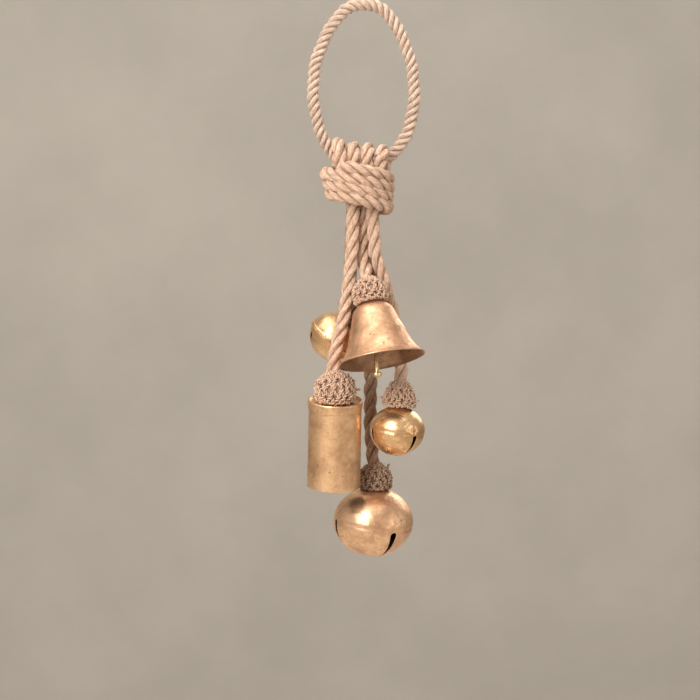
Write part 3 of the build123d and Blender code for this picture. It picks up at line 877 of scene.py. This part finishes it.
def crotal_mesh(
    radius, half, slots, wide, sheet, polar_from, polar_to, seed, rows, columns, petal, crease, wrinkle
):
    """A sheet shell from one polar angle to another, cut by slots. Its origin is the bell's middle. petal
    is how far a petal is flattened, crease how deep it folds where its slots begin, and wrinkle is None or
    the place (in radii) and spread of a crumpled patch. Returns points, faces and grain."""
    narrow, foot = 0.42 * mm, half
    crease_height, beating, crumple = 1.6 * mm, 0.20 * mm, 0.75 * mm
    polar = np.linspace(polar_from, polar_to, rows)
    near_top = np.array([-0.02, 0.0, 0.004, 0.01, 0.02, 0.035, 0.055, 0.08, 0.11, 0.14])
    for _, top in slots:
        polar = np.unique(np.concatenate([polar, np.arccos(-top / half) + near_top]))
    share = np.linspace(0, 1, columns + 1)
    edge_bias = 0.5 - 0.5 * np.cos(pi * share)
    share = 0.35 * share + 0.65 * edge_bias
    outer, inner = [], []
    index = {}

    def slot_width(s, z):
        return slot_half_width(-z, slots[s % 3][1], wide, narrow, foot)

    for a, p in enumerate(polar):
        rho, z = radius * sin(p), half * cos(p)
        widths = [slot_width(s, z) for s in range(3)]
        half_angles = [min(np.arcsin(min(w / max(rho, w + 0.02 * mm), 0.98)), radians(59.5)) for w in widths]
        for s in range(3):
            begin = radians(slots[s][0]) + half_angles[s]
            finish = radians(slots[(s + 1) % 3][0] + (360 if s == 2 else 0)) - half_angles[(s + 1) % 3]
            for c, f in enumerate(share):
                angle = begin + (finish - begin) * f
                # petals are a little flatter than the ball, most at their middles
                slot_top = slots[s][1] * (1 - f) + slots[(s + 1) % 3][1] * f
                below = max(0.0, (-z - slot_top) / (half - slot_top))
                flat = petal * sin(pi * f) * min(1.0, 2.2 * below) * (1 - 0.35 * below)
                step = crease * np.exp(-(((-z - slot_top) / crease_height) ** 2)) * sin(pi * f) ** 0.5
                direction = np.array([sin(angle), -cos(angle), 0.0])
                normal = unit(direction * sin(p) / radius + np.array([0, 0, cos(p) / half]))
                point = direction * rho + np.array([0, 0, z])
                wander = Vector(point) / (8.5 * mm) + Vector((seed, 0, 2))
                push = noise.fractal(wander, 1.0, 2.0, 3) * beating
                if wrinkle:
                    spot = np.array(wrinkle[:3])
                    near = np.exp(-np.sum((point / radius - spot) ** 2) / wrinkle[3])
                    push += near * crumple * noise.noise(Vector(point) / (2.4 * mm) + Vector((seed, 4, 0)))
                push -= flat + step
                index[(a, s, c)] = len(outer)
                outer.append(point + normal * push)
                inner.append(point + normal * (push - sheet))
    points = np.vstack([outer, inner])
    n = len(outer)
    faces = []
    rows = len(polar)

    def wall(i, j):
        faces.append((i, j, j + n, i + n))

    for a in range(rows - 1):
        for s in range(3):
            for c in range(columns):
                q = [index[(a, s, c)], index[(a + 1, s, c)], index[(a + 1, s, c + 1)], index[(a, s, c + 1)]]
                faces.append(tuple(q))
                faces.append(tuple(i + n for i in reversed(q)))
    for s in range(3):
        for c in range(columns):
            wall(index[(0, s, c)], index[(0, s, c + 1)])
            wall(index[(rows - 1, s, c + 1)], index[(rows - 1, s, c)])
        for a in range(rows - 1):
            levels = half * cos(polar[a]), half * cos(polar[a + 1])
            if any(slot_width(s, z) > 0 for z in levels):
                wall(index[(a + 1, s, 0)], index[(a, s, 0)])
            if any(slot_width(s + 1, z) > 0 for z in levels):
                wall(index[(a, s, columns)], index[(a + 1, s, columns)])
    # inner faces near black: dark bare iron deepened by painted shade
    return points, faces, inside_grain(2 * n, 0.96)


def merged(shape, limit=1e-7):
    """Joins points that lie on each other, so that a shell closes where its sectors meet."""
    points = np.vstack(shape.points)
    keys = {}
    remap = np.zeros(len(points), int)
    kept = []
    for i, key in enumerate(map(tuple, np.round(points / limit).astype(int))):
        if key not in keys:
            keys[key] = len(kept)
            kept.append(i)
        remap[i] = keys[key]
    faces = []
    for f in shape.faces:
        g = []
        for i in f:
            j = int(remap[i])
            if not g or g[-1] != j:
                g.append(j)
        if len(g) > 1 and g[0] == g[-1]:
            g.pop()
        if len(set(g)) >= 3:
            faces.append(tuple(g))
    shape.points = [points[kept]]
    shape.grain = [np.vstack(shape.grain)[kept]]
    shape.faces = faces
    shape.count = len(kept)


# Each slot's turn in degrees from the front, and how far below the middle it begins
SLOTS = {
    "small": [(40, 1.9), (168, 0.5), (295, -1.2)],
    "large": [(31, 3.4), (160, 0.5), (290, -2.6)],
    "medium": [(50, 5.0), (170, 5.0), (290, 5.0)],
}
SLOT_CREASE = 0.4 * mm
CROTALS = {
    # radius, half height, slot half width, material, petal flatness, wrinkle
    "small": (19.8, 17.8, 1.7, wash_bright, 0.9, (0.45, -0.75, 0.12, 0.10)),
    "large": (28.8, 25.0, 2.5, wash_large, 1.1, None),
}


def make_crotal(index, drop):
    radius, half, wide, material, petal, wrinkle = CROTALS[drop]
    depth = half * sqrt(1 - (4.5 / radius) ** 2)
    shape = Shape()
    hole = np.arcsin(1.5 / radius)
    slots = [(turn, top * mm) for turn, top in SLOTS[drop]]
    points, faces, grain = crotal_mesh(
        radius * mm, half * mm, slots, wide * mm, 1.0 * mm,
        hole, pi - 0.012, index * 11.0, 96, 44, petal * mm, SLOT_CREASE, wrinkle,
    )
    # the crown is a small flat
    ceiling = depth * mm
    outer = len(points) // 2
    points[:outer, 2] = np.minimum(points[:outer, 2], ceiling)
    points[outer:, 2] = np.minimum(points[outer:, 2], ceiling - 1.0 * mm)
    points[:, 2] -= depth * mm
    shape.add(points, faces, grain)
    merged(shape)
    finish_bell(shape, f"{drop}_crotal_shell", drop, material, [f"{drop}_shell"])


for index, drop in enumerate(CROTALS):
    make_crotal(index, drop)


def make_medium_crotal():
    """Two cups that meet at a lip: the upper one is plain, the lower one carries the slots."""
    radius, half = 19.6, 17.6
    depth = half * sqrt(1 - (4.5 / radius) ** 2)
    upper = [(1.5, 0.0), (4.5, -0.02), (8.5, -1.45), (12.0, -3.35), (15.0, -6.0), (17.4, -9.4), (18.9, -13.0)]
    upper += [(19.5, -15.6), (19.7, -16.15), (20.3, -16.45)]
    section = sheet_section(smooth_outline(upper, 0.45 * mm), 0.8 * mm)
    section[:, 1] = np.maximum(section[:, 1], -(depth - 0.05) * mm)
    shape = Shape()
    shape.add(*turned(section, 180, lambda p: radial_push(p, dents(p, 9 * mm, 0.18 * mm, 12))))
    finish_bell(shape, "medium_upper_cup_sheet", "medium", wash_bright, ["medium_upper_cup"])

    shape = Shape()
    slots = [(turn, top * mm) for turn, top in SLOTS["medium"]]
    points, faces, grain = crotal_mesh(
        radius * mm, half * mm, slots, 2.2 * mm, 0.9 * mm,
        pi / 2 + 0.035, pi - 0.012, 40.0, 60, 44, 0.8 * mm, 0.25 * mm, None,
    )
    points[:, 2] -= depth * mm
    shape.add(points, faces, grain)
    lip = [(19.0, -0.75), (20.2, -0.75), (20.95, -0.42), (20.9, -0.05), (20.2, 0.0), (19.0, -0.03)]
    loop = np.array([(r, h - depth) for r, h in lip]) * mm
    shape.add(*turned(loop, 180, lambda p: radial_push(p, dents(p, 9 * mm, 0.2 * mm, 14))))
    merged(shape)
    finish_bell(shape, "medium_lower_cup_sheet", "medium", wash_bright, ["medium_lower_cup"])


make_medium_crotal()


# ---------------------------------------------------------------------------
# Pellets, and the CAD metal that stays
# ---------------------------------------------------------------------------
def make_pellet(drop):
    low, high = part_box(f"{drop}_pellet")
    centre, radius = np.array((low + high) / 2), (high.x - low.x) / 2
    rows, sides, fit = 26, 36, 0.965
    polar = np.linspace(0.02, pi - 0.02, rows)[:, None]
    theta = np.linspace(0, 2 * pi, sides, endpoint=False)[None, :]
    spots = (np.sin(polar) * np.cos(theta), np.sin(polar) * np.sin(theta), np.cos(polar) + 0 * theta)
    ball = np.stack(spots, axis=-1).reshape(-1, 3)
    shift = Vector((radius / mm, 0, 0))
    lumps = np.array([noise.fractal(Vector(p) * 1.7 + shift, 1.0, 2.0, 3) for p in ball])
    rings = ball * (radius * (fit + 0.03 * lumps))[:, None] + centre
    pole = np.array([0, 0, radius * fit])
    shape = Shape()
    shape.add(np.vstack([rings, centre + pole, centre - pole]), [f[::-1] for f in capped_faces(rows, sides)])
    obj = shape.piece(f"{drop}_pellet_ball", pellet_iron, "pellet")
    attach(obj, f"{drop}_striker")
    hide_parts(f"{drop}_pellet")


for drop in ("small", "large", "medium"):
    make_pellet(drop)


def repaint(node, material):
    mesh = frame["nodes"][node].data
    mesh.materials.clear()
    mesh.materials.append(material)


for drop in DROPS:
    repaint(f"{drop}_staple", wire_metal)
repaint("flared_clapper", clapper_brass)
repaint("cylinder_clapper", clapper_brass)


# ---------------------------------------------------------------------------
# Floor, backdrop, light and camera
# ---------------------------------------------------------------------------
def plain(name, colour, other, scale):
    m = Nodes(name)
    place = m.add("ShaderNodeTexCoord").outputs["Object"]
    m.feed(m.surface, "Base Color", m.ramp(m.noise(place, scale, 6.0, 0.6), (0.35, other), (0.65, colour)))
    m.surface.inputs["Roughness"].default_value = 0.9
    return m.material


def stage_plane(name, size, location, rotation, material):
    bpy.ops.mesh.primitive_plane_add(size=size, location=location, rotation=rotation)
    obj = bpy.context.object
    obj.name = name
    obj.data.materials.append(material)


middle_z = (cad_low.z + cad_high.z) / 2
floor_pale = plain("floor_pale", (0.62, 0.58, 0.53), (0.58, 0.54, 0.49), 1.5)
plaster = plain("backdrop_plaster", (0.465, 0.435, 0.39), (0.405, 0.378, 0.337), 2.2)
stage_size, floor_drop, backdrop_y = 12, 0.75, 2.6
stage_plane("floor", stage_size, (0, 0, cad_low.z - floor_drop), (0, 0, 0), floor_pale)
stage_plane("backdrop", stage_size, (0, backdrop_y, middle_z), (radians(90), 0, 0), plaster)


def area_light(name, size, energy, location, target, colour):
    data = bpy.data.lights.new(name, "AREA")
    data.shape, data.energy, data.color = "RECTANGLE", energy, colour
    data.size, data.size_y = size
    obj = bpy.data.objects.new(name, data)
    bpy.context.scene.collection.objects.link(obj)
    obj.location = location
    obj.rotation_euler = (Vector(target) - Vector(location)).to_track_quat("-Z", "Y").to_euler()


heart = (0, 0, middle_z)
area_light("key", (0.7, 1.9), 46, (-0.95, -1.7, middle_z + 0.75), heart, (1.0, 0.965, 0.92))
area_light("fill", (1.6, 1.6), 8, (1.9, -1.3, middle_z + 0.2), heart, (1.0, 0.95, 0.9))
area_light("rim", (1.0, 1.0), 10, (1.0, 1.5, middle_z + 0.9), heart, (1.0, 0.95, 0.9))
area_light("wall", (3.0, 3.0), 60, (-0.5, 0.2, middle_z + 2.6), (0, backdrop_y, middle_z), (1.0, 0.97, 0.93))

world = bpy.data.worlds.new("studio")
world.use_nodes = True
world.node_tree.nodes["Background"].inputs["Color"].default_value = (0.66, 0.60, 0.53, 1)
world.node_tree.nodes["Background"].inputs["Strength"].default_value = 0.75
bpy.context.scene.world = world

camera_data = bpy.data.cameras.new("camera")
camera = bpy.data.objects.new("camera", camera_data)
bpy.context.scene.collection.objects.link(camera)
bpy.context.scene.camera = camera
reach, width_seen = 1.45, 0.497
camera_data.sensor_width = 36
camera_data.lens = 36 * reach / width_seen
aim = Vector((-0.0098, 0.0, -0.2405))
camera.location = aim + Vector((0, -reach, 0.03))
camera.rotation_euler = (aim - camera.location).to_track_quat("-Z", "Y").to_euler()

bpy.context.scene.view_settings.view_transform = "Standard"
